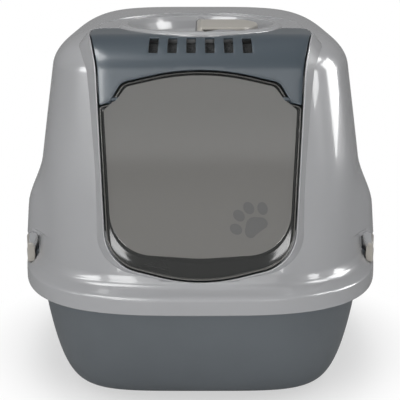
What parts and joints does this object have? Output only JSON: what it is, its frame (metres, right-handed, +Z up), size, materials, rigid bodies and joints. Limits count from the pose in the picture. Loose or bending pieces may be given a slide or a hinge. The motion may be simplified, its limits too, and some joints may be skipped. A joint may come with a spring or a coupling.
{
  "type": "hooded litter box",
  "caption": "Covered cat litter box: deep tray, clipped-on hood, swinging flap in the front, vented visor with a filter, fold-down handle in a round dish.",
  "frame": {"origin": "middle of the base, on the surface it stands on", "axes": "+X to the viewer's right, -Y out of the door, +Z up"},
  "size_m": [0.45, 0.57, 0.4541],
  "materials": {
    "tray_plastic": "matte, fine grain",
    "hood_plastic": "gloss",
    "visor_plastic": "satin gloss",
    "flap_plastic": "smoky, see-through",
    "print": "printed",
    "filter_foam": "open carbon foam",
    "trim_plastic": "satin"
  },
  "bodies": {
    "tray": {"tray": "tray_plastic"},
    "hood": {"hood": "hood_plastic"},
    "visor": {"visor": "visor_plastic", "carbon_filter": "filter_foam"},
    "filter_cover": {"filter_cover": "visor_plastic"},
    "flap": {"flap": "flap_plastic", "paw_print": "print"},
    "handle": {"handle": "trim_plastic"},
    "clip_front_left": {"clip_front_left": "trim_plastic"},
    "clip_front_right": {"clip_front_right": "trim_plastic"},
    "clip_rear_left": {"clip_rear_left": "trim_plastic"},
    "clip_rear_right": {"clip_rear_right": "trim_plastic"}
  },
  "joints": [
    {"name": "hood_lift", "type": "slide", "parent": "tray", "child": "hood", "axis": [0, 0, 1], "range_m": [0, 0.15]},
    {"name": "visor_pull", "type": "slide", "parent": "hood", "child": "visor", "axis": [0, -0.7071, 0.7071], "range_m": [0, 0.14]},
    {"name": "flap_swing", "type": "hinge", "parent": "visor", "child": "flap", "pos_m": [0, -0.20828, 0.369], "axis": [-1, 0, 0], "range_deg": [-60, 60]},
    {"name": "filter_cover_hinge", "type": "hinge", "parent": "visor", "child": "filter_cover", "pos_m": [0, -0.19012, 0.40142], "axis": [-1, 0, 0], "range_deg": [0, 75]},
    {"name": "handle_fold", "type": "hinge", "parent": "hood", "child": "handle", "pos_m": [0, -0.06482, 0.4385], "axis": [0, -0.999, -0.0454], "range_deg": [0, 90]},
    {"name": "clip_front_left_hinge", "type": "hinge", "parent": "hood", "child": "clip_front_left", "pos_m": [-0.21302, -0.1324, 0.1823], "axis": [-0.1908, 0.9816, 0], "range_deg": [0, 70]},
    {"name": "clip_rear_left_hinge", "type": "hinge", "parent": "hood", "child": "clip_rear_left", "pos_m": [-0.21302, 0.1324, 0.1823], "axis": [0.1908, 0.9816, 0], "range_deg": [0, 70]},
    {"name": "clip_front_right_hinge", "type": "hinge", "parent": "hood", "child": "clip_front_right", "pos_m": [0.21302, -0.1324, 0.1823], "axis": [-0.1908, -0.9816, 0], "range_deg": [0, 70]},
    {"name": "clip_rear_right_hinge", "type": "hinge", "parent": "hood", "child": "clip_rear_right", "pos_m": [0.21302, 0.1324, 0.1823], "axis": [0.1908, -0.9816, 0], "range_deg": [0, 70]}
  ]
}
